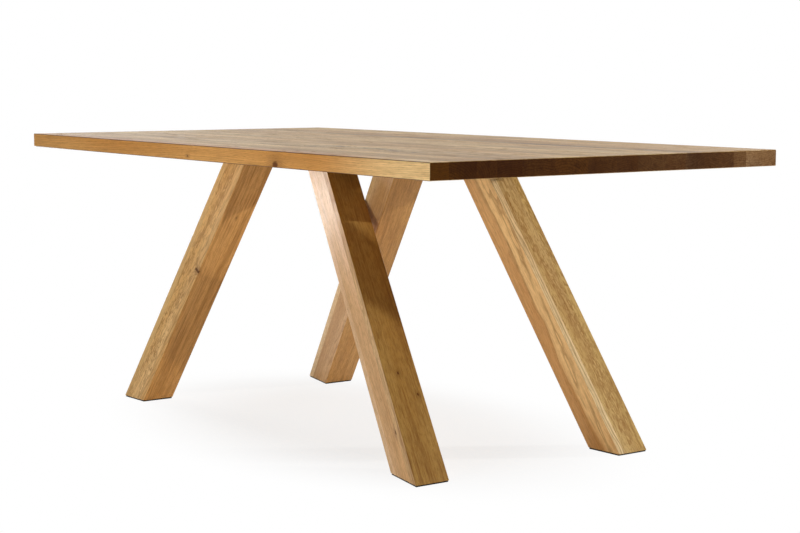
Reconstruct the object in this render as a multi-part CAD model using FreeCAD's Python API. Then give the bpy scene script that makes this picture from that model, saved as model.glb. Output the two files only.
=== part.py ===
import FreeCAD, Part
import os

os.makedirs("parts", exist_ok=True)

# Frame: the origin is on the floor under the middle of the top, +X runs along the top, +Z is up.
# All sizes are in millimetres.

# Table top
TOP_LENGTH = 2000.0
TOP_WIDTH = 1000.0
TABLE_HEIGHT = 760.0
TOP_THICKNESS = 38.0
TOP_ARRIS_RADIUS = 2.0
STAVE_WIDTHS = [48, 71, 52, 67, 88, 92, 83, 62, 74, 70, 73, 79, 40, 101]

# Legs: a square section glued up from a thick core between two thinner boards
LEG_SIDE = 92.0
LEG_BOARD = 20.0
LEG_ARRIS_RADIUS = 2.0

# Where the centre line of each leg meets the floor and the underside of the top,
# and whether its boards are stacked across the lean or through it.
LEGS = {
    "crossing_leg_near": {"foot": (606, -239), "head": (-200, 20), "stack": "across"},
    "crossing_leg_far": {"foot": (-603, 285), "head": (196, 4), "stack": "across"},
    "outer_leg_near": {"foot": (648, 340), "head": (242, 212), "stack": "through"},
    "outer_leg_far": {"foot": (-652, -312), "head": (-248, -186), "stack": "across"},
}

# What the two outer boards of a leg are called, seen from the front of the table
BOARD_NAMES = {
    "across": ("_left_board", "_right_board"),
    "through": ("_front_board", "_back_board"),
}

# Felt pads under the feet
PAD_THICKNESS = 4.0
PAD_INSET = 2.0

# Steel brackets: a plate bolted under the top with a blade that runs down inside the leg
PLATE_LENGTH = 280.0
PLATE_WIDTH = 100.0
PLATE_THICKNESS = 8.0
PLATE_CORNER_RADIUS = 12.0
BLADE_THICKNESS = 8.0
BLADE_WIDTH = 50.0
BLADE_DEPTH = 110.0
BLADE_PLAY = 0.3
MORTISE_END_PLAY = 2.0

# Pins through the core and the blade of each leg
PIN_DIAMETER = 8.0
PIN_DEPTHS = [62.0, 92.0]

# Bolts and threaded inserts that hold the plates to the top
BOLT_SPACING_LONG = 248.0
BOLT_SPACING_SHORT = 72.0
BOLT_DIAMETER = 8.0
BOLT_LENGTH = 26.0
BOLT_HEAD_DIAMETER = 14.0
BOLT_HEAD_HEIGHT = 4.4
BOLT_KEY_WIDTH = 5.0
BOLT_KEY_DEPTH = 2.4
INSERT_DIAMETER = 12.0
INSERT_LENGTH = 20.0
INSERT_HOLE_DEPTH = 24.0

# Play between parts that slide or screw into each other, on the diameter
FIT_PLAY = 0.2
PLATE_HOLE_PLAY = 1.0

# Derived heights
UNDERSIDE = TABLE_HEIGHT - TOP_THICKNESS
LEG_TOP = UNDERSIDE - PLATE_THICKNESS
LEG_BOTTOM = PAD_THICKNESS
HALF_SIDE = LEG_SIDE / 2
HALF_CORE = HALF_SIDE - LEG_BOARD

UP = FreeCAD.Vector(0, 0, 1)


def save(name, shape):
    """Write one node of the assembly."""
    shape.exportStep("parts/" + name + ".step")


def block(x_range, y_range, z_range):
    """A box given by its lowest and highest value along each axis."""
    size = [high - low for low, high in (x_range, y_range, z_range)]
    corner = FreeCAD.Vector(x_range[0], y_range[0], z_range[0])
    return Part.makeBox(size[0], size[1], size[2], corner)


def upright_cylinder(diameter, x, y, z_range):
    """A vertical cylinder over a range of heights."""
    base = FreeCAD.Vector(x, y, z_range[0])
    return Part.makeCylinder(diameter / 2, z_range[1] - z_range[0], base, UP)


def table_top_blank():
    """The whole top as one board with eased arrises."""
    half_length = TOP_LENGTH / 2
    half_width = TOP_WIDTH / 2
    board = block((-half_length, half_length), (-half_width, half_width), (UNDERSIDE, TABLE_HEIGHT))
    return board.makeFillet(TOP_ARRIS_RADIUS, board.Edges)


def leg_placement(leg):
    """The frame of a leg: origin at the floor, local Z up its centre line, local X level with the lean."""
    foot_x, foot_y = leg["foot"]
    head_x, head_y = leg["head"]
    along = FreeCAD.Vector(head_x - foot_x, head_y - foot_y, UNDERSIDE).normalize()
    across = FreeCAD.Vector(along.z, 0, -along.x).normalize()
    through = along.cross(across)
    turn = FreeCAD.Rotation(across, through, along, "ZXY")
    return FreeCAD.Placement(FreeCAD.Vector(foot_x, foot_y, 0), turn)


def leg_length(leg):
    """Length of the centre line from the floor to the underside of the top."""
    run_x = leg["head"][0] - leg["foot"][0]
    run_y = leg["head"][1] - leg["foot"][1]
    return FreeCAD.Vector(run_x, run_y, UNDERSIDE).Length


def stack_block(leg, stack_range, width_range, depth_range):
    """A box in the frame of a leg, measured across its boards, over their width and up its centre line."""
    if leg["stack"] == "across":
        shape = block(stack_range, width_range, depth_range)
    else:
        shape = block(width_range, stack_range, depth_range)
    shape.Placement = leg_placement(leg)
    return shape


def point_on_centre_line(leg, height):
    """The point of the centre line of a leg at a height above the floor."""
    share = height / UNDERSIDE
    x = leg["foot"][0] + share * (leg["head"][0] - leg["foot"][0])
    y = leg["foot"][1] + share * (leg["head"][1] - leg["foot"][1])
    return FreeCAD.Vector(x, y, height)


def level_slab(low, high):
    """A wide level slab that trims the ends of the legs."""
    return block((-TOP_LENGTH, TOP_LENGTH), (-TOP_LENGTH, TOP_LENGTH), (low, high))


def leg_blank(leg):
    """The square leg with eased arrises, cut level at the foot and at the head."""
    reach = leg_length(leg) + 2 * LEG_SIDE
    prism = block((-HALF_SIDE, HALF_SIDE), (-HALF_SIDE, HALF_SIDE), (-LEG_SIDE * 2, reach))
    long_edges = [edge for edge in prism.Edges if edge.Length > 2 * LEG_SIDE]
    prism = prism.makeFillet(LEG_ARRIS_RADIUS, long_edges)
    prism.Placement = leg_placement(leg)
    return prism.common(level_slab(LEG_BOTTOM, LEG_TOP))


def leg_boards(leg):
    """Split a leg into its first board, its core and its second board."""
    blank = leg_blank(leg)
    reach = (-LEG_SIDE * 3, leg_length(leg) + LEG_SIDE * 3)
    full_width = (-LEG_SIDE, LEG_SIDE)
    ranges = [(-LEG_SIDE, -HALF_CORE), (-HALF_CORE, HALF_CORE), (HALF_CORE, LEG_SIDE)]
    return [blank.common(stack_block(leg, limits, full_width, reach)) for limits in ranges]


def bracket_blade(leg, play, end_play):
    """The blade inside the leg, made larger by the play for the mortise that holds it."""
    half_thickness = BLADE_THICKNESS / 2 + play
    half_width = BLADE_WIDTH / 2 + play
    top = leg_length(leg) + LEG_SIDE
    bottom = leg_length(leg) - BLADE_DEPTH - end_play
    blade = stack_block(leg, (-half_thickness, half_thickness), (-half_width, half_width), (bottom, top))
    return blade.common(level_slab(0, LEG_TOP))


def pin(leg, depth, diameter, length):
    """A pin across the boards of a leg, at a depth below the head."""
    height = leg_length(leg) - depth
    if leg["stack"] == "across":
        start = FreeCAD.Vector(-length / 2, 0, height)
        direction = FreeCAD.Vector(1, 0, 0)
    else:
        start = FreeCAD.Vector(0, -length / 2, height)
        direction = FreeCAD.Vector(0, 1, 0)
    shape = Part.makeCylinder(diameter / 2, length, start, direction)
    shape.Placement = leg_placement(leg)
    return shape


def bolt_positions(leg):
    """The four bolts of the plate on the head of a leg."""
    middle = point_on_centre_line(leg, LEG_TOP)
    positions = []
    for side_x in (-1, 1):
        for side_y in (-1, 1):
            x = middle.x + side_x * BOLT_SPACING_LONG / 2
            y = middle.y + side_y * BOLT_SPACING_SHORT / 2
            positions.append((x, y))
    return positions


def bracket(leg):
    """The plate and its blade, welded together, with holes for the bolts and pins."""
    middle = point_on_centre_line(leg, LEG_TOP)
    x_range = (middle.x - PLATE_LENGTH / 2, middle.x + PLATE_LENGTH / 2)
    y_range = (middle.y - PLATE_WIDTH / 2, middle.y + PLATE_WIDTH / 2)
    plate = block(x_range, y_range, (LEG_TOP, UNDERSIDE))
    corners = [edge for edge in plate.Edges if abs(edge.tangentAt(0).z) > 0.5]
    plate = plate.makeFillet(PLATE_CORNER_RADIUS, corners)
    for x, y in bolt_positions(leg):
        plate = plate.cut(upright_cylinder(BOLT_DIAMETER + PLATE_HOLE_PLAY, x, y, (LEG_TOP, UNDERSIDE)))
    welded = plate.fuse(bracket_blade(leg, 0, 0)).removeSplitter()
    for depth in PIN_DEPTHS:
        welded = welded.cut(pin(leg, depth, PIN_DIAMETER + FIT_PLAY, LEG_SIDE / 2))
    return welded


def leg_core(leg, board):
    """The core with the mortise for the blade and the holes for the pins."""
    core = board.cut(bracket_blade(leg, BLADE_PLAY, MORTISE_END_PLAY))
    for depth in PIN_DEPTHS:
        core = core.cut(pin(leg, depth, PIN_DIAMETER + FIT_PLAY, LEG_SIDE))
    return core


def foot_pad(leg):
    """A felt pad with the outline of the foot, set in from its edges."""
    half = HALF_SIDE - PAD_INSET
    prism = block((-half, half), (-half, half), (-LEG_SIDE * 2, LEG_SIDE * 2))
    prism.Placement = leg_placement(leg)
    outline = prism.slice(UP, LEG_BOTTOM)[0]
    pad = Part.Face(outline).extrude(FreeCAD.Vector(0, 0, -PAD_THICKNESS))
    return pad


def hexagon(across_flats, x, y, z):
    """A level hexagonal face for a key socket."""
    radius = across_flats / 3 ** 0.5
    corner = FreeCAD.Vector(radius, 0, 0)
    points = []
    for step in range(7):
        turned = FreeCAD.Rotation(UP, 60 * step).multVec(corner)
        points.append(turned + FreeCAD.Vector(x, y, z))
    return Part.Face(Part.makePolygon(points))


def bolt(x, y):
    """A button head bolt that comes up through the plate."""
    head_low = LEG_TOP - BOLT_HEAD_HEIGHT
    head = upright_cylinder(BOLT_HEAD_DIAMETER, x, y, (head_low, LEG_TOP))
    rim = [edge for edge in head.Edges if abs(edge.BoundBox.ZMax - head_low) < 0.001]
    head = head.makeFillet(BOLT_HEAD_HEIGHT * 0.6, rim)
    shank = upright_cylinder(BOLT_DIAMETER, x, y, (LEG_TOP, LEG_TOP + BOLT_LENGTH))
    socket = hexagon(BOLT_KEY_WIDTH, x, y, head_low).extrude(UP * BOLT_KEY_DEPTH)
    return head.fuse(shank).removeSplitter().cut(socket)


def threaded_insert(x, y):
    """A steel sleeve screwed into the underside of the top."""
    heights = (UNDERSIDE, UNDERSIDE + INSERT_LENGTH)
    sleeve = upright_cylinder(INSERT_DIAMETER, x, y, heights)
    return sleeve.cut(upright_cylinder(BOLT_DIAMETER + FIT_PLAY, x, y, heights))


def insert_hole(x, y):
    """The blind hole in the top for one threaded insert."""
    return upright_cylinder(INSERT_DIAMETER + FIT_PLAY, x, y, (UNDERSIDE, UNDERSIDE + INSERT_HOLE_DEPTH))


def build_top():
    """Glue-up of full length staves, counted from the front edge to the back edge."""
    blank = table_top_blank()
    holes = [(x, y) for leg in LEGS.values() for x, y in bolt_positions(leg)]
    front = -TOP_WIDTH / 2
    for number, width in enumerate(STAVE_WIDTHS, start=1):
        back = front + width
        stave = blank.common(block((-TOP_LENGTH, TOP_LENGTH), (front, back), (0, TABLE_HEIGHT * 2)))
        for x, y in holes:
            if front - INSERT_DIAMETER < y < back + INSERT_DIAMETER:
                stave = stave.cut(insert_hole(x, y))
        save("top_stave_%02d" % number, stave)
        front = back


def build_legs():
    """Boards, bracket and pad of each leg."""
    for name, leg in LEGS.items():
        first_board, core, second_board = leg_boards(leg)
        first_name, second_name = BOARD_NAMES[leg["stack"]]
        save(name + first_name, first_board)
        save(name + "_core", leg_core(leg, core))
        save(name + second_name, second_board)
        save(name + "_bracket", bracket(leg))
        save(name + "_foot_pad", foot_pad(leg))


def build_fasteners():
    """Pins, bolts and inserts, each kind as one group of separate solids."""
    pins = []
    bolts = []
    inserts = []
    for leg in LEGS.values():
        for depth in PIN_DEPTHS:
            pins.append(pin(leg, depth, PIN_DIAMETER, 2 * HALF_CORE))
        for x, y in bolt_positions(leg):
            bolts.append(bolt(x, y))
            inserts.append(threaded_insert(x, y))
    save("bracket_pins", Part.makeCompound(pins))
    save("plate_bolts", Part.makeCompound(bolts))
    save("threaded_inserts", Part.makeCompound(inserts))


build_top()
build_legs()
build_fasteners()
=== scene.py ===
import math
import random

import bpy
import numpy as np
from mathutils import Euler, Matrix, Vector


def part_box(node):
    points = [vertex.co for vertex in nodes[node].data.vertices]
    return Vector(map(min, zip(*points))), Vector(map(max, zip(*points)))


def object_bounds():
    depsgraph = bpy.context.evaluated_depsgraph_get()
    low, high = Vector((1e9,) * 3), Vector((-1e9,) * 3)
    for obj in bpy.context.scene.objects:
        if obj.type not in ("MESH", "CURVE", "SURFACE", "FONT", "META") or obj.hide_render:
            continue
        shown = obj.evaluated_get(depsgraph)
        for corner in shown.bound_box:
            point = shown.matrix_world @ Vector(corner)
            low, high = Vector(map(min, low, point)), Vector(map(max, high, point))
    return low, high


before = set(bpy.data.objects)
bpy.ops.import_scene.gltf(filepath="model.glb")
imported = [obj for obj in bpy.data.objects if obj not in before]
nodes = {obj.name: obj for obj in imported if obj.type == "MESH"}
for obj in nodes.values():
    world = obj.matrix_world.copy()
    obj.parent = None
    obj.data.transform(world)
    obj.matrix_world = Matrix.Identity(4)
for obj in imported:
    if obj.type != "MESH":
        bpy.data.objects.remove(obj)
cad_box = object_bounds()
table_low, table_high = cad_box

# Camera: place in metres, lens and film width in millimetres, angles in degrees
CAMERA_PLACE = (3.7022, -2.4612, 0.9346)
CAMERA_LENS = 75.31
CAMERA_FILM = 36.0
CAMERA_DOWN = 6.554
CAMERA_TURN = 55.043

# Lamps: soft boxes, with place, aim and size in metres and the spread of the light in degrees
LAMPS = {
    "front_softbox": {"place": (0.5, -3.7, 0.8), "aim": (0.1, 0.0, 0.5), "size": (2.2, 1.2), "watts": 60},
    "left_panel": {
        "place": (-1.65, -0.33, 0.62), "aim": (-0.1, -0.05, 0.56), "size": (0.35, 0.26), "watts": 4.4,
        "spread": 150,
    },
    "back_lamp": {
        "place": (2.7, 4.9, 1.6), "aim": (0.3, 0.0, 0.45), "size": (0.3, 0.15), "watts": 205,
        "mirrored": False,
    },
}

# Studio: a white wall with a dimmer gap, a ceiling and light overhead (sides in degrees, heights as sines)
WALL_SIDE = 145.0
WALL_SPAN = (0.60, 0.90)
WALL_LIGHT = 2.5
WALL_GAP_SIDE = 141.0
WALL_GAP_SPAN = (0.96, 1.00)
WALL_GAP_LIGHT = 1.2
WALL_FOOT = (-0.02, 0.02)
WALL_TOP = (0.26, 0.42)
CEILING_SIDE = 60.0
CEILING_SPAN = (-0.4, 1.0)
CEILING_LIGHT = 0.95
CEILING_LOW = (0.30, 0.40)
CEILING_HIGH = (0.75, 0.90)
OVERHEAD_LIGHT = 0.85
OVERHEAD_EDGE = (0.80, 0.90)
MIRRORED_LIGHT = 0.03
BACKGROUND_LIGHT = 1.0
WHITE = (1.0, 1.0, 1.0, 1.0)
LEVEL_PART = (1.0, 1.0, 0.0)

# Floor: how much of its white is fixed, so that the shadow on it stays pale
FLOOR_SIZE = 10.0
FLOOR_DROP = 0.0005
FLOOR_WHITE = (0.90, 0.90, 0.90, 1.0)
FLOOR_FIXED_NEAR = 0.72
FLOOR_FIXED_FAR = 1.0
FLOOR_FADE = (0.35, 1.0)
FLOOR_STRETCH = (1.0, 1.6, 0.0)

# Oak colours, as they look in plain light
OAK_PALE = (222, 184, 126)
OAK_MIDDLE = (200, 153, 90)
OAK_DEEP = (142, 96, 44)
OAK_PORE = (92, 56, 22)
OAK_KNOT = (82, 38, 10)
OAK_SAP = (255, 217, 153)
OAK_END_DARK = (98, 68, 0)
# The pale end colour is partly painted light: the end grain of the top is blended toward it more where more
# light falls
OAK_END_PALE_AND_LIT = (178, 172, 196)

# Oak surface: gloss, what adds to the roughness and to the height, and the strength and depth of the bump
OAK_SPECULAR = 0.2
OAK_ROUGHNESS = {"plain": 0.40, "early": 0.07, "pore": 0.20, "end": 0.40}
OAK_HEIGHT = {"early": -0.35, "fibre": 0.30, "pore": -1.0}
OAK_BUMP = (0.5, 0.0002)
ARRIS_SPAN = (0.08, 0.35)
FACING_SPAN = (0.80, 0.96)

# Growth rings: the noise that bends them, how uneven they are, and the early wood as a span of each year
SEED_STEP = (3.71, 1.93, 2.37)
SEED_RANGE = (1, 40)
BEND_STRETCH = (0.9, 4.0, 4.0)
BEND_BY = 0.060
UNEVEN_SCALE = 40.0
UNEVEN_BY = 1.8
EARLY_FADE = (0.0, 0.45)
EARLY_RISE = (0.90, 1.0)
YEAR_SHARE = 0.14
ACROSS_AND_THROUGH = (0.0, 1.0, 1.0)

# Marks in the grain: the stretch of noise along, across and through it, and the span where a mark sets in
CLOUD = {"stretch": (0.8, 9.0, 9.0), "span": (0.30, 0.70)}
HEART = {"stretch": (2.2, 10.0, 10.0), "detail": 1.0, "span": (0.45, 0.65)}
BROAD_STREAK = {"stretch": (3.0, 75.0, 75.0), "roughness": 0.6, "span": (0.42, 0.72), "most": 0.5}
NARROW_STREAK = {"stretch": (14.0, 210.0, 210.0), "roughness": 0.6, "span": (0.45, 0.75), "most": 0.5}
DASH = {"stretch": (45.0, 230.0, 230.0), "roughness": 0.6, "span": (0.48, 0.60)}
PORE = {"stretch": (60.0, 1500.0, 1500.0), "detail": 0.0, "span": (0.58, 0.72)}
PORE_LATE = 0.25
PORE_SHARE = 0.40
FIBRE = {"stretch": (14.0, 620.0, 620.0), "roughness": 0.6}
FIBRE_SPAN = (0.45, 0.75)
FIBRE_SHARE = 0.22

# Pale sapwood near the pith, plain wood outside it, and blond wood at one end of a board (widths in metres)
SAP_EDGE = (-0.004, 0.006)
SAP_SHARE = 0.8
PLAIN_EDGE = (0.0, 0.006)
PLAIN_SHARE = 0.75
BLOND_FADE = 0.4
NO_BLOND = 9.0

# Traits of a board: lengths in metres, strengths from 0 to 1, tints as factors of red, green and blue
UNTINTED = (1.0, 1.0, 1.0)
OAK = {"curl": (12.0, 45.0, 45.0), "side": UNTINTED, "reach": 0.0, "taper": 0.0, "blond": NO_BLOND}
STAVE = {
    **OAK, "ring": 0.0045, "wave": 0.006, "figure": 0.5, "streak": 0.9, "dash": 0.3, "heart": 0.4,
    "arris": 0.6,
}
BOARD = {
    **OAK, "ring": 0.0028, "wave": 0.004, "figure": 0.35, "streak": 0.6, "dash": 0.2, "heart": 0.0,
    "arris": 0.0, "end": 0.2, "pith": (-0.14, 0.02),
}
FLAT_GRAIN = {"streak": 0.3, "pith": (0.0, 0.12)}
WAVY_GRAIN = {
    "ring": 0.006, "wave": 0.012, "curl": (45.0, 170.0, 170.0), "figure": 0.5, "dash": 0.4,
    "pith": (-0.09, 0.0),
}
GRAIN_DRIFT = 1.0

# Staves of the top, front to back: tone of each, and how pale its end grain is. This paleness is partly
# stave tone and partly painted light: it rises toward the back, as the light on the end of the top does
STAVE_TONES_AND_END_LIGHT = [
    (1.00, 0.00), (0.98, 0.00), (1.04, 0.02), (0.93, 0.02), (1.00, 0.04), (1.06, 0.04), (0.95, 0.08),
    (1.02, 0.10), (0.96, 0.14), (1.03, 0.18), (0.92, 0.24), (0.90, 0.18), (1.10, 0.50), (1.02, 1.00),
]
STAVE_TINT = (1.32, 1.42, 1.32)
STAVE_SEED = 7
STAVE_PITH_ACROSS = (-0.05, 0.05)
STAVE_PITH_DEPTH = (0.05, 0.12)
STAVE_TRAITS = {
    "top_stave_01": {
        "tint": (1.06, 0.85, 0.60), "pith": (0.02, 0.15), "wave": 0.004, "figure": 0.25, "streak": 0.4,
        "dash": 0.1, "heart": 0.0, "arris": 0.9, "blond": 0.55,
    },
    "top_stave_12": {"tint": (1.20, 1.17, 0.95)},
}
STAVE_AXES = (Vector((1, 0, 0)), Vector((0, 1, 0)), Vector((0, 0, 1)))

# What sets each leg board apart
BOARD_TRAITS = {
    "crossing_leg_near_left_board": {**FLAT_GRAIN, "tint": (1.44, 1.65, 2.5)},
    "crossing_leg_near_core": {
        "tint": (1.39, 1.56, 2.3), "wave": 0.003, "curl": (6.0, 30.0, 30.0), "figure": 0.2, "streak": 0.5,
        "pith": (0.0, 0.2),
    },
    # This board's wide face, the right face of the near crossing leg, lies in shade: its dark tint is
    # partly painted shade, and its side tint brings the lit narrow face back up
    "crossing_leg_near_right_board": {
        "tint": (0.75, 0.72, 0.49), "streak": 1.0, "dash": 0.35, "side": (1.5, 1.68, 2.9),
        "pith": (-0.14, -0.02),
    },
    "crossing_leg_far_left_board": {**FLAT_GRAIN, "tint": (1.22, 1.45, 2.0)},
    "crossing_leg_far_core": {"tint": (0.95, 0.98, 1.22), "figure": 0.3, "streak": 0.5, "pith": (0.0, 0.2)},
    "crossing_leg_far_right_board": {"tint": (1.05, 0.93, 0.74), "streak": 0.8, "side": (0.93, 1.05, 1.6)},
    "outer_leg_near_front_board": {
        "tint": (1.02, 0.92, 0.89), "ring": 0.011, "wave": 0.016, "curl": (10.0, 45.0, 45.0), "figure": 0.5,
        "streak": 0.25, "side": (0.98, 1.12, 1.38), "reach": 0.0745, "taper": 0.014, "pith": (0.034, 0.050),
    },
    "outer_leg_near_core": {**WAVY_GRAIN, "tint": (1.10, 1.31, 1.44)},
    "outer_leg_near_back_board": {**WAVY_GRAIN, "tint": (1.02, 1.16, 1.04)},
    "outer_leg_far_left_board": {**FLAT_GRAIN, "tint": (1.20, 1.27, 1.28)},
    "outer_leg_far_core": {
        **WAVY_GRAIN, "tint": (1.34, 1.44, 1.58), "ring": 0.007, "curl": (38.0, 130.0, 130.0),
        "pith": (-0.10, 0.0),
    },
    "outer_leg_far_right_board": {"tint": (1.27, 1.22, 1.18), "streak": 1.0, "side": (1.02, 1.14, 1.38)},
}

# Knots and mineral streaks: place, radius, the way the branch runs, and how much longer than wide they are
ACROSS = (0.0, 1.0, 0.0)
THROUGH = (0.0, 0.0, 1.0)
FRONT = table_low[1]
TOP = table_high[2]
OVAL = 1.7
KNOTS = {
    "top_stave_01": [
        ((0.398, FRONT, 0.729), 0.012, ACROSS, 1.3),
        ((-0.029, FRONT, 0.732), 0.003, ACROSS, OVAL),
    ],
    "top_stave_04": [
        ((0.22, -0.283, TOP), 0.009, THROUGH, OVAL),
        ((0.56, -0.277, TOP), 0.009, THROUGH, OVAL),
        ((0.64, -0.281, TOP), 0.008, THROUGH, OVAL),
    ],
    "top_stave_05": [
        ((0.26, -0.235, TOP), 0.010, THROUGH, 2.5),
        ((0.38, -0.239, TOP), 0.009, THROUGH, OVAL),
        ((0.41, -0.228, TOP), 0.008, THROUGH, OVAL),
        ((0.45, -0.243, TOP), 0.010, THROUGH, OVAL),
        ((0.50, -0.250, TOP), 0.009, THROUGH, OVAL),
    ],
    "top_stave_11": [
        ((0.52, 0.236, TOP), 0.011, THROUGH, 24.0),
        ((-0.08, 0.225, TOP), 0.006, THROUGH, 30.0),
    ],
    "crossing_leg_near_core": [((0.533, -0.257, 0.100), 0.006, ACROSS, OVAL)],
    "crossing_leg_near_right_board": [
        ((0.484, -0.159, 0.171), 0.004, THROUGH, OVAL),
        ((0.432, -0.181, 0.218), 0.004, THROUGH, OVAL),
    ],
    "outer_leg_far_right_board": [
        ((-0.386, -0.286, 0.394), 0.0035, THROUGH, OVAL),
        ((-0.295, -0.214, 0.544), 0.002, THROUGH, OVAL),
    ],
}

# Parts of a knot: spans as shares of its radius, and the most that each part does
KNOT_RAGGED = {"stretch": (90.0, 300.0, 300.0)}
KNOT_RAGGED_BY = 0.9
KNOT_CORE_SPAN = (0.35, 1.15)
KNOT_CORE_SHARE = 0.9
KNOT_HALO_SPAN = (0.8, 3.5)
KNOT_HALO_SHARE = 0.3
KNOT_PUSH_SPAN = (0.0, 4.0)
KNOT_PUSH_BY = 1.2

# Hardware: colours as they look in plain light, noise in repeats per metre, bumps as strength and depth
NOISE_SPAN = (0.3, 0.7)
COAT_DARK = (34, 34, 35)
COAT_PALE = (50, 49, 48)
COAT_DUST = {"stretch": (30.0, 30.0, 30.0), "detail": 3.0}
COAT_DUST_SPAN = (0.35, 0.75)
COAT_PEEL = {"stretch": (900.0, 900.0, 900.0), "detail": 1.0}
COAT_ROUGHNESS = (0.46, 0.58)
COAT_BUMP = (0.35, 0.0003)
ZINC_DARK = (168, 170, 172)
ZINC_PALE = (196, 196, 192)
ZINC_BLOTCH = {"stretch": (260.0, 260.0, 260.0), "detail": 3.0}
ZINC_ROUGHNESS = (0.28, 0.42)
FELT_DARK = (18, 15, 12)
FELT_PALE = (44, 37, 30)
FELT_TANGLE = {"stretch": (1100.0, 1100.0, 1100.0), "detail": 3.0, "roughness": 0.7}
FELT_CLUMP_DARK = (14, 12, 10)
FELT_CLUMP = {"stretch": (160.0, 160.0, 160.0), "span": (0.4, 0.7), "most": 0.4}
FELT_ROUGHNESS = 0.95
FELT_SHEEN = 0.3
FELT_BUMP = (0.8, 0.0004)
FASTENERS = ("bracket_pins", "plate_bolts", "threaded_inserts")

# Sockets of the Mix node, which has a set for every kind of value
MIX_NUMBERS = (2, 3)
MIX_COLOURS = (6, 7)
MIX_COLOUR_OUT = 2

# What noise gives on average, as a colour
MIDDLE_GREY = (0.5, 0.5, 0.5)

# How far a face's normal points up before the face counts as level
LEVEL_FACE = 0.999


def linear(colour):
    """A colour given as 0 to 255 display values, as the linear values that shaders use."""
    out = []
    for value in colour:
        share = value / 255.0
        out.append(share / 12.92 if share <= 0.04045 else ((share + 0.055) / 1.055) ** 2.4)
    return (*out, 1.0)


class Graph:
    """Adds nodes to one node tree. Inputs may be sockets or plain values."""

    def __init__(self, tree):
        self.tree = tree

    def node(self, kind, **settings):
        made = self.tree.nodes.new(kind)
        for name, value in settings.items():
            setattr(made, name, value)
        return made

    def feed(self, socket, value):
        if isinstance(value, bpy.types.NodeSocket):
            self.tree.links.new(value, socket)
        else:
            socket.default_value = value

    def group(self, tree, values):
        """The outputs of a node group that is fed with values."""
        made = self.node("ShaderNodeGroup", node_tree=tree)
        for name, value in values.items():
            self.feed(made.inputs[name], value)
        return made.outputs

    def place(self):
        """Where on the object a point lies, in metres."""
        return self.node("ShaderNodeTexCoord").outputs["Object"]

    def math(self, operation, *values):
        made = self.node("ShaderNodeMath", operation=operation)
        for socket, value in zip(made.inputs, values):
            self.feed(socket, value)
        return made.outputs[0]

    def product(self, first, *others):
        for other in others:
            first = self.math("MULTIPLY", first, other)
        return first

    def vector(self, operation, *values, output="Vector"):
        made = self.node("ShaderNodeVectorMath", operation=operation)
        for socket, value in zip(made.inputs, values):
            self.feed(socket, value)
        return made.outputs[output]

    def dot(self, first, second):
        return self.vector("DOT_PRODUCT", first, second, output="Value")

    def length(self, value):
        return self.vector("LENGTH", value, output="Value")

    def scaled(self, value, factor):
        made = self.node("ShaderNodeVectorMath", operation="SCALE")
        self.feed(made.inputs[0], value)
        self.feed(made.inputs["Scale"], factor)
        return made.outputs["Vector"]

    def part(self, value, name):
        """The X, Y or Z of a vector."""
        made = self.node("ShaderNodeSeparateXYZ")
        self.feed(made.inputs[0], value)
        return made.outputs[name]

    def noise_node(self, point, stretch, detail=2.0, roughness=0.5):
        made = self.node("ShaderNodeTexNoise", noise_dimensions="3D")
        self.feed(made.inputs["Vector"], self.vector("MULTIPLY", point, stretch))
        made.inputs["Scale"].default_value = 1.0
        made.inputs["Detail"].default_value = detail
        made.inputs["Roughness"].default_value = roughness
        return made

    def noise(self, point, **settings):
        return self.noise_node(point, **settings).outputs[0]

    def shift(self, point, stretch):
        """Smooth noise as a vector round zero."""
        colour = self.noise_node(point, stretch, detail=1.0).outputs["Color"]
        return self.vector("SUBTRACT", colour, MIDDLE_GREY)

    def noise_line(self, value, scale):
        """Smooth noise along a line."""
        made = self.node("ShaderNodeTexNoise", noise_dimensions="1D")
        self.feed(made.inputs["W"], value)
        made.inputs["Scale"].default_value = scale
        made.inputs["Detail"].default_value = 1.0
        return made.outputs[0]

    def step(self, value, low, high, start=0.0, end=1.0):
        """A smooth step from start to end while a value goes from low to high."""
        made = self.node("ShaderNodeMapRange", interpolation_type="SMOOTHSTEP")
        names = ("Value", "From Min", "From Max", "To Min", "To Max")
        for name, number in zip(names, (value, low, high, start, end)):
            self.feed(made.inputs[name], number)
        return made.outputs[0]

    def rise(self, value, span, most=1.0):
        return self.step(value, *span, 0.0, most)

    def fade(self, value, span, most=1.0):
        return self.step(value, *span, most, 0.0)

    def marks(self, point, span, most=1.0, **settings):
        """Marks where noise rises through a span."""
        return self.rise(self.noise(point, **settings), span, most)

    def between(self, factor, first, second):
        """A number between two numbers."""
        made = self.node("ShaderNodeMix", data_type="FLOAT")
        self.feed(made.inputs[0], factor)
        for socket, value in zip(MIX_NUMBERS, (first, second)):
            self.feed(made.inputs[socket], value)
        return made.outputs[0]

    def blend(self, factor, first, second, mode="MIX"):
        """A colour between two colours."""
        made = self.node("ShaderNodeMix", data_type="RGBA", blend_type=mode)
        self.feed(made.inputs[0], factor)
        for socket, value in zip(MIX_COLOURS, (first, second)):
            self.feed(made.inputs[socket], value)
        return made.outputs[MIX_COLOUR_OUT]

    def bump(self, height, strength, depth):
        """The normals of a surface that is raised by a height."""
        made = self.node("ShaderNodeBump")
        made.inputs["Strength"].default_value = strength
        made.inputs["Distance"].default_value = depth
        self.feed(made.inputs["Height"], height)
        return made.outputs[0]

    def surface(self, shader):
        """Ends a material with a shader."""
        self.feed(self.node("ShaderNodeOutputMaterial").inputs["Surface"], shader)

    def principled(self, values):
        """Ends a material with a principled shader that is fed with values."""
        made = self.node("ShaderNodeBsdfPrincipled")
        for name, value in values.items():
            self.feed(made.inputs[name], value)
        self.surface(made.outputs[0])


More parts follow.
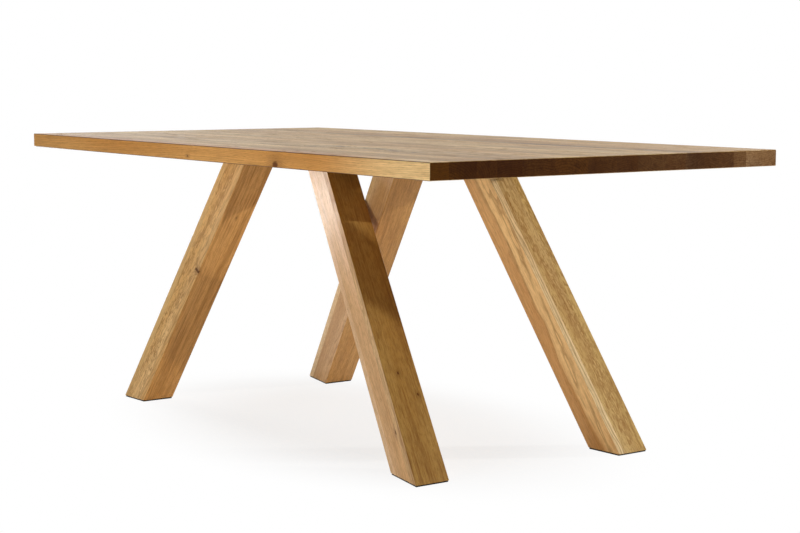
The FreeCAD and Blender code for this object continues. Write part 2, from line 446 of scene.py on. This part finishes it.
def new_group(name, inputs, outputs):
    """An empty node group with named sockets of each kind, as a graph, its inputs and its outputs."""
    tree = bpy.data.node_groups.new(name, "ShaderNodeTree")
    for way, kinds in (("INPUT", inputs), ("OUTPUT", outputs)):
        for kind, sockets in kinds.items():
            for socket in sockets:
                tree.interface.new_socket(socket, in_out=way, socket_type="NodeSocket" + kind)
    graph = Graph(tree)
    return graph, graph.node("NodeGroupInput").outputs, graph.node("NodeGroupOutput").inputs


def new_material(name):
    """A material with an empty node tree, and its graph."""
    material = bpy.data.materials.new(name)
    material.use_nodes = True
    material.node_tree.nodes.clear()
    return material, Graph(material.node_tree)


def dress(node_name, material):
    """Gives a CAD node its material."""
    slots = nodes[node_name].material_slots
    if not slots:
        nodes[node_name].data.materials.append(material)
    for slot in slots:
        slot.material = material


def grow_rings(graph, given, moved):
    """Growth rings round the pith, bent by slow noise and curled by quick noise."""
    wave = graph.scaled(graph.shift(moved, given["Curl"]), given["Wave"])
    bent = graph.shift(moved, BEND_STRETCH)
    bent = graph.vector("MULTIPLY_ADD", bent, (0.0, BEND_BY, BEND_BY), given["Point"])
    bent = graph.vector("MULTIPLY_ADD", wave, ACROSS_AND_THROUGH, bent)
    from_pith = graph.vector("MULTIPLY", graph.vector("SUBTRACT", bent, given["Pith"]), ACROSS_AND_THROUGH)
    radius = graph.math("ADD", graph.length(from_pith), given["Push"])

    uneven = graph.noise_line(graph.math("ADD", radius, given["Seed"]), UNEVEN_SCALE)
    ring = graph.math("MULTIPLY_ADD", uneven, UNEVEN_BY, graph.math("DIVIDE", radius, given["Ring"]))
    within = graph.math("FRACT", ring)
    early = graph.math("MAXIMUM", graph.fade(within, EARLY_FADE), graph.rise(within, EARLY_RISE))
    year = graph.node("ShaderNodeTexWhiteNoise", noise_dimensions="1D")
    graph.feed(year.inputs["W"], graph.math("ADD", graph.math("FLOOR", ring), given["Seed"]))
    return {"bent": bent, "radius": radius, "early": early, "year": year.outputs["Value"]}


def place_sapwood(graph, given, radius):
    """Where wood is pale, near the pith or at one end of the board, and how strong its figure is."""
    along = graph.part(given["Point"], "X")
    reach = graph.math("MULTIPLY_ADD", along, given["Taper"], given["Reach"])
    past_reach = graph.math("SUBTRACT", radius, reach)
    blond = graph.step(along, given["Blond"], graph.math("ADD", given["Blond"], BLOND_FADE))
    pale = graph.math("MAXIMUM", blond, graph.fade(past_reach, SAP_EDGE, SAP_SHARE))
    has_sapwood = graph.math("GREATER_THAN", given["Reach"], 0.0)
    plain = graph.math("MULTIPLY", graph.rise(past_reach, PLAIN_EDGE, PLAIN_SHARE), has_sapwood)
    return pale, graph.math("MULTIPLY", given["Figure"], graph.math("SUBTRACT", 1.0, plain))


def colour_planed_wood(graph, given, moved, rings):
    """Colour that drifts, with sapwood, streaks, dashes, rings, fibre, pores and knots laid over it."""
    pale, figure = place_sapwood(graph, given, rings["radius"])
    streak = graph.math("ADD", graph.marks(moved, **BROAD_STREAK), graph.marks(moved, **NARROW_STREAK))
    dash = graph.marks(rings["bent"], **DASH)
    fibre = graph.noise(moved, **FIBRE)
    pore_share = graph.step(rings["early"], 0.0, 1.0, PORE_LATE, 1.0)
    pore = graph.math("MULTIPLY", graph.marks(moved, **PORE), pore_share)
    layers = [
        (graph.math("MULTIPLY", graph.marks(moved, **HEART), given["Heart"]), given["Deep"]),
        (pale, linear(OAK_SAP)),
        (graph.math("MULTIPLY", streak, given["Streak"]), given["Deep"]),
        (graph.math("MULTIPLY", dash, given["Dash"]), given["Deep"]),
        (graph.math("MULTIPLY", rings["year"], YEAR_SHARE), given["Deep"]),
        (graph.math("MULTIPLY", rings["early"], figure), given["Deep"]),
        (graph.rise(fibre, FIBRE_SPAN, FIBRE_SHARE), given["Deep"]),
        (graph.math("MULTIPLY", pore, PORE_SHARE), linear(OAK_PORE)),
        (given["Knot"], linear(OAK_KNOT)),
    ]
    colour = graph.blend(graph.marks(moved, **CLOUD), given["Middle"], given["Pale"])
    for share, tone in layers:
        colour = graph.blend(share, colour, tone)
    return colour, fibre, pore


def colour_faces(graph, given, colour):
    """Arrises made darker, end grain that holds more oil and is blended toward a pale colour that is partly
    painted light, and the narrow sides with a tint of their own.
    """
    normal = graph.node("ShaderNodeNewGeometry").outputs["True Normal"]
    across = graph.dot(normal, given["Across"])
    corner = graph.math("ABSOLUTE", graph.math("MULTIPLY", across, graph.dot(normal, given["Through"])))
    # The arrises are made darker by blending them toward the pore colour
    corner = graph.math("MULTIPLY", graph.rise(corner, ARRIS_SPAN), given["Arris"])
    colour = graph.blend(corner, colour, linear(OAK_PORE))
    # End grain is made darker; how far it is blended toward the pale end colour is partly painted light
    end_grain = graph.rise(graph.math("ABSOLUTE", graph.dot(normal, given["Along"])), FACING_SPAN)
    end_tint = graph.blend(given["End"], linear(OAK_END_DARK), linear(OAK_END_PALE_AND_LIT))
    colour = graph.blend(end_grain, colour, graph.blend(1.0, colour, end_tint, "MULTIPLY"))
    side = graph.rise(graph.math("ABSOLUTE", across), FACING_SPAN)
    return graph.blend(side, colour, graph.vector("MULTIPLY", colour, given["Side"])), end_grain


def make_oak_group():
    """Planed oak from a point in grain space: x runs along the grain, and lengths are in metres."""
    inputs = {
        "Vector": ("Point", "Pith", "Along", "Across", "Through", "Curl", "Side"),
        "Float": (
            "Seed", "Ring", "Wave", "Figure", "Streak", "Dash", "Heart", "Arris", "End", "Reach", "Taper",
            "Blond", "Push", "Knot",
        ),
        "Color": ("Pale", "Middle", "Deep"),
    }
    outputs = {"Color": ("Color",), "Float": ("Roughness", "Height")}
    graph, given, result = new_group("oak", inputs, outputs)
    moved = graph.vector("ADD", given["Point"], graph.scaled(SEED_STEP, given["Seed"]))
    rings = grow_rings(graph, given, moved)
    colour, fibre, pore = colour_planed_wood(graph, given, moved, rings)
    colour, end_grain = colour_faces(graph, given, colour)
    graph.feed(result["Color"], colour)

    rough = graph.math("MULTIPLY_ADD", rings["early"], OAK_ROUGHNESS["early"], OAK_ROUGHNESS["plain"])
    rough = graph.math("MULTIPLY_ADD", pore, OAK_ROUGHNESS["pore"], rough)
    graph.feed(result["Roughness"], graph.math("MULTIPLY_ADD", end_grain, OAK_ROUGHNESS["end"], rough))

    height = graph.math("MULTIPLY", fibre, OAK_HEIGHT["fibre"])
    height = graph.math("MULTIPLY_ADD", rings["early"], OAK_HEIGHT["early"], height)
    graph.feed(result["Height"], graph.math("MULTIPLY_ADD", pore, OAK_HEIGHT["pore"], height))
    return graph.tree


def make_knot_group():
    """A small branch: how far it pushes the rings aside and where it darkens them."""
    inputs = {"Vector": ("Point", "Knot", "Branch", "Shrink"), "Float": ("Radius",)}
    graph, given, result = new_group("knot", inputs, {"Float": ("Push", "Mask")})
    away = graph.vector("SUBTRACT", given["Point"], given["Knot"])
    away = graph.vector("SUBTRACT", away, graph.scaled(given["Branch"], graph.dot(away, given["Branch"])))
    ragged = graph.noise(given["Point"], **KNOT_RAGGED)
    ragged = graph.math("MULTIPLY_ADD", ragged, KNOT_RAGGED_BY, -KNOT_RAGGED_BY / 2)
    distance = graph.length(graph.vector("MULTIPLY", away, given["Shrink"]))
    distance = graph.math("ADD", graph.math("DIVIDE", distance, given["Radius"]), ragged)

    push = graph.fade(distance, KNOT_PUSH_SPAN, KNOT_PUSH_BY)
    graph.feed(result["Push"], graph.math("MULTIPLY", push, given["Radius"]))
    core = graph.fade(distance, KNOT_CORE_SPAN, KNOT_CORE_SHARE)
    halo = graph.fade(distance, KNOT_HALO_SPAN, KNOT_HALO_SHARE)
    graph.feed(result["Mask"], graph.math("MAXIMUM", core, halo))
    return graph.tree


def leg_board_axes(board):
    """Along, across and through a board of a leg, from its side faces: all of them run along the grain."""
    spread = np.zeros((3, 3))
    for face in board.data.polygons:
        if abs(face.normal.z) < LEVEL_FACE:
            spread += face.area * np.outer(face.normal, face.normal)
    columns = np.linalg.eigh(spread)[1].T
    along = Vector(columns[0])
    through = Vector(columns[2])
    if along.z < 0:
        along.negate()
    if through.x + through.y < 0:
        through.negate()
    return along, through.cross(along), through


def tinted(colour, tint):
    """A wood colour with its red, green and blue multiplied by a tint."""
    return (*(part * share for part, share in zip(linear(colour), tint)), 1.0)


def wood_colours(tint):
    """The colours of a board. The deep one changes less with the tint and keeps its hue."""
    deep_share = math.sqrt(tint[0])
    return {
        "Pale": tinted(OAK_PALE, tint),
        "Middle": tinted(OAK_MIDDLE, tint),
        "Deep": tinted(OAK_DEEP, (deep_share, deep_share, deep_share)),
    }


def add_knots(graph, knot_group, knots, point, to_grain):
    """How far the knots of a board push its rings aside, and where they darken it."""
    push = 0.0
    mask = 0.0
    for place, radius, branch, longer in knots:
        knot = graph.group(knot_group, {
            "Point": point, "Knot": to_grain @ Vector(place), "Branch": branch, "Radius": radius,
            "Shrink": (1 / longer, 1.0, 1.0),
        })
        push = graph.math("ADD", push, knot["Push"])
        mask = graph.math("MAXIMUM", mask, knot["Mask"])
    return push, mask


def make_oak_material(name, axes, wood, oak_group, knot_group):
    """Oak for one board. Its grain runs along the board with a slight drift, round its own pith."""
    low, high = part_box(name)
    middle = (low + high) / 2
    draw = random.Random(name)
    drift = [math.radians(draw.uniform(-GRAIN_DRIFT, GRAIN_DRIFT)) for axis in "yz"]
    turn = Euler((0, *drift)).to_matrix() @ Matrix(axes)
    to_grain = Matrix.LocRotScale(-(turn @ middle), turn, None)

    material, graph = new_material(name)
    mapping = graph.node("ShaderNodeMapping", vector_type="POINT")
    graph.feed(mapping.inputs["Vector"], graph.place())
    mapping.inputs["Rotation"].default_value = turn.to_euler()
    mapping.inputs["Location"].default_value = to_grain.translation
    point = mapping.outputs[0]

    push, mask = add_knots(graph, knot_group, KNOTS.get(name, []), point, to_grain)
    values = {trait.capitalize(): value for trait, value in wood.items() if trait not in ("tint", "pith")}
    values.update(wood_colours(wood["tint"]))
    values.update(zip(("Along", "Across", "Through"), axes))
    values.update({"Point": point, "Push": push, "Knot": mask, "Pith": (0.0, *wood["pith"])})
    values["Seed"] = draw.uniform(*SEED_RANGE)
    oak = graph.group(oak_group, values)
    graph.principled({
        "Base Color": oak["Color"],
        "Roughness": oak["Roughness"],
        "Specular IOR Level": OAK_SPECULAR,
        "Normal": graph.bump(oak["Height"], *OAK_BUMP),
    })
    return material


def dress_oak():
    """Gives every stave and leg board oak of its own."""
    groups = (make_oak_group(), make_knot_group())
    draw = random.Random(STAVE_SEED)
    # The end paleness of each stave is partly painted light, growing toward the back of the top
    for number, (tone, end) in enumerate(STAVE_TONES_AND_END_LIGHT, start=1):
        name = f"top_stave_{number:02d}"
        tint = [tone * share for share in STAVE_TINT]
        pith = (draw.uniform(*STAVE_PITH_ACROSS), draw.choice((-1, 1)) * draw.uniform(*STAVE_PITH_DEPTH))
        wood = {**STAVE, "tint": tint, "end": end, "pith": pith, **STAVE_TRAITS.get(name, {})}
        dress(name, make_oak_material(name, STAVE_AXES, wood, *groups))
    for name, traits in BOARD_TRAITS.items():
        axes = leg_board_axes(nodes[name])
        dress(name, make_oak_material(name, axes, {**BOARD, **traits}, *groups))


def make_bracket_steel():
    """Black powder coat with a fine orange peel."""
    material, graph = new_material("bracket_steel")
    point = graph.place()
    dust = graph.noise(point, **COAT_DUST)
    graph.principled({
        "Base Color": graph.blend(graph.rise(dust, COAT_DUST_SPAN), linear(COAT_DARK), linear(COAT_PALE)),
        "Roughness": graph.step(dust, *NOISE_SPAN, *COAT_ROUGHNESS),
        "Normal": graph.bump(graph.noise(point, **COAT_PEEL), *COAT_BUMP),
    })
    return material


def make_fastener_steel():
    """Zinc plated steel, slightly blotched."""
    material, graph = new_material("fastener_steel")
    blotch = graph.noise(graph.place(), **ZINC_BLOTCH)
    graph.principled({
        "Base Color": graph.blend(graph.rise(blotch, NOISE_SPAN), linear(ZINC_DARK), linear(ZINC_PALE)),
        "Metallic": 1.0,
        "Roughness": graph.step(blotch, *NOISE_SPAN, *ZINC_ROUGHNESS),
    })
    return material


def make_felt():
    """Dark pressed felt with short tangled fibres."""
    material, graph = new_material("felt")
    point = graph.place()
    tangle = graph.noise(point, **FELT_TANGLE)
    colour = graph.blend(graph.rise(tangle, NOISE_SPAN), linear(FELT_DARK), linear(FELT_PALE))
    graph.principled({
        "Base Color": graph.blend(graph.marks(point, **FELT_CLUMP), colour, linear(FELT_CLUMP_DARK)),
        "Roughness": FELT_ROUGHNESS,
        "Sheen Weight": FELT_SHEEN,
        "Normal": graph.bump(tangle, *FELT_BUMP),
    })
    return material


def dress_hardware():
    """Gives the steel pieces and the pads under the feet their materials."""
    bracket_steel = make_bracket_steel()
    fastener_steel = make_fastener_steel()
    felt = make_felt()
    for name in nodes:
        if name.endswith("_bracket"):
            dress(name, bracket_steel)
        elif name.endswith("_foot_pad"):
            dress(name, felt)
        elif name in FASTENERS:
            dress(name, fastener_steel)


def make_floor_material():
    """White where it is looked at, with a pale shadow of the table."""
    material, graph = new_material("floor")
    from_middle = graph.length(graph.vector("MULTIPLY", graph.place(), FLOOR_STRETCH))
    fixed = graph.step(from_middle, *FLOOR_FADE, FLOOR_FIXED_NEAR, FLOOR_FIXED_FAR)
    camera_ray = graph.node("ShaderNodeLightPath").outputs["Is Camera Ray"]
    lit = graph.node("ShaderNodeBsdfDiffuse")
    lit.inputs["Color"].default_value = FLOOR_WHITE
    white = graph.node("ShaderNodeEmission")
    mix = graph.node("ShaderNodeMixShader")
    share = graph.math("MULTIPLY", fixed, camera_ray)
    for socket, value in zip(mix.inputs, (share, lit.outputs[0], white.outputs[0])):
        graph.feed(socket, value)
    graph.surface(mix.outputs[0])
    return material


def make_floor():
    """A large square just below the feet."""
    half = FLOOR_SIZE / 2
    mesh = bpy.data.meshes.new("floor")
    corners = [(x, y, -FLOOR_DROP) for x, y in ((-half, -half), (half, -half), (half, half), (-half, half))]
    mesh.from_pydata(corners, [], [(0, 1, 2, 3)])
    mesh.materials.append(make_floor_material())
    floor = bpy.data.objects.new("floor", mesh)
    bpy.context.scene.collection.objects.link(floor)


def level_direction(degrees):
    """The level direction so many degrees from +X."""
    return math.cos(math.radians(degrees)), math.sin(math.radians(degrees)), 0.0


def make_world():
    """White where it is looked at. The table is lit by a wall, a ceiling and the light overhead."""
    world = bpy.data.worlds.new("studio")
    world.use_nodes = True
    world.node_tree.nodes.clear()
    graph = Graph(world.node_tree)
    direction = graph.vector("NORMALIZE", graph.node("ShaderNodeTexCoord").outputs["Generated"])
    height = graph.part(direction, "Z")
    level = graph.vector("NORMALIZE", graph.vector("MULTIPLY", direction, LEVEL_PART))

    to_gap = graph.dot(level, level_direction(WALL_GAP_SIDE))
    wall = graph.product(
        graph.step(to_gap, *WALL_GAP_SPAN, WALL_LIGHT, WALL_GAP_LIGHT),
        graph.rise(graph.dot(level, level_direction(WALL_SIDE)), WALL_SPAN),
        graph.rise(height, WALL_FOOT),
        graph.fade(height, WALL_TOP),
    )
    ceiling = graph.product(
        graph.rise(graph.dot(level, level_direction(CEILING_SIDE)), CEILING_SPAN, CEILING_LIGHT),
        graph.rise(height, CEILING_LOW),
        graph.fade(height, CEILING_HIGH),
    )
    overhead = graph.rise(height, OVERHEAD_EDGE, OVERHEAD_LIGHT)

    path = graph.node("ShaderNodeLightPath").outputs
    mirrored = graph.math("MAXIMUM", path["Is Glossy Ray"], path["Is Transmission Ray"])
    lit = graph.math("ADD", graph.math("ADD", wall, ceiling), overhead)
    lit = graph.math("MULTIPLY_ADD", mirrored, MIRRORED_LIGHT, lit)
    background = graph.node("ShaderNodeBackground")
    background.inputs["Color"].default_value = WHITE
    strength = graph.between(path["Is Camera Ray"], lit, BACKGROUND_LIGHT)
    graph.feed(background.inputs["Strength"], strength)
    graph.feed(graph.node("ShaderNodeOutputWorld").inputs["Surface"], background.outputs[0])
    bpy.context.scene.world = world


def make_lamp(name, place, aim, size, watts, spread=180, mirrored=True):
    """A soft box that points at its aim. Gloss shows it only if it is mirrored."""
    lamp = bpy.data.lights.new(name, "AREA")
    lamp.shape = "RECTANGLE"
    lamp.size, lamp.size_y = size
    lamp.energy = watts
    lamp.spread = math.radians(spread)
    box = bpy.data.objects.new(name, lamp)
    box.visible_camera = False
    box.visible_glossy = mirrored
    box.location = place
    box.rotation_euler = (Vector(aim) - Vector(place)).to_track_quat("-Z", "Y").to_euler()
    bpy.context.scene.collection.objects.link(box)


def make_camera():
    """The camera of the photograph."""
    lens = bpy.data.cameras.new("camera")
    lens.lens = CAMERA_LENS
    lens.sensor_width = CAMERA_FILM
    camera = bpy.data.objects.new("camera", lens)
    camera.location = CAMERA_PLACE
    camera.rotation_euler = (math.radians(90 - CAMERA_DOWN), 0, math.radians(CAMERA_TURN))
    bpy.context.scene.collection.objects.link(camera)
    bpy.context.scene.camera = camera


dress_oak()
dress_hardware()
make_floor()
make_world()
for lamp_name, lamp in LAMPS.items():
    make_lamp(lamp_name, **lamp)
make_camera()
bpy.context.scene.view_settings.view_transform = "Standard"
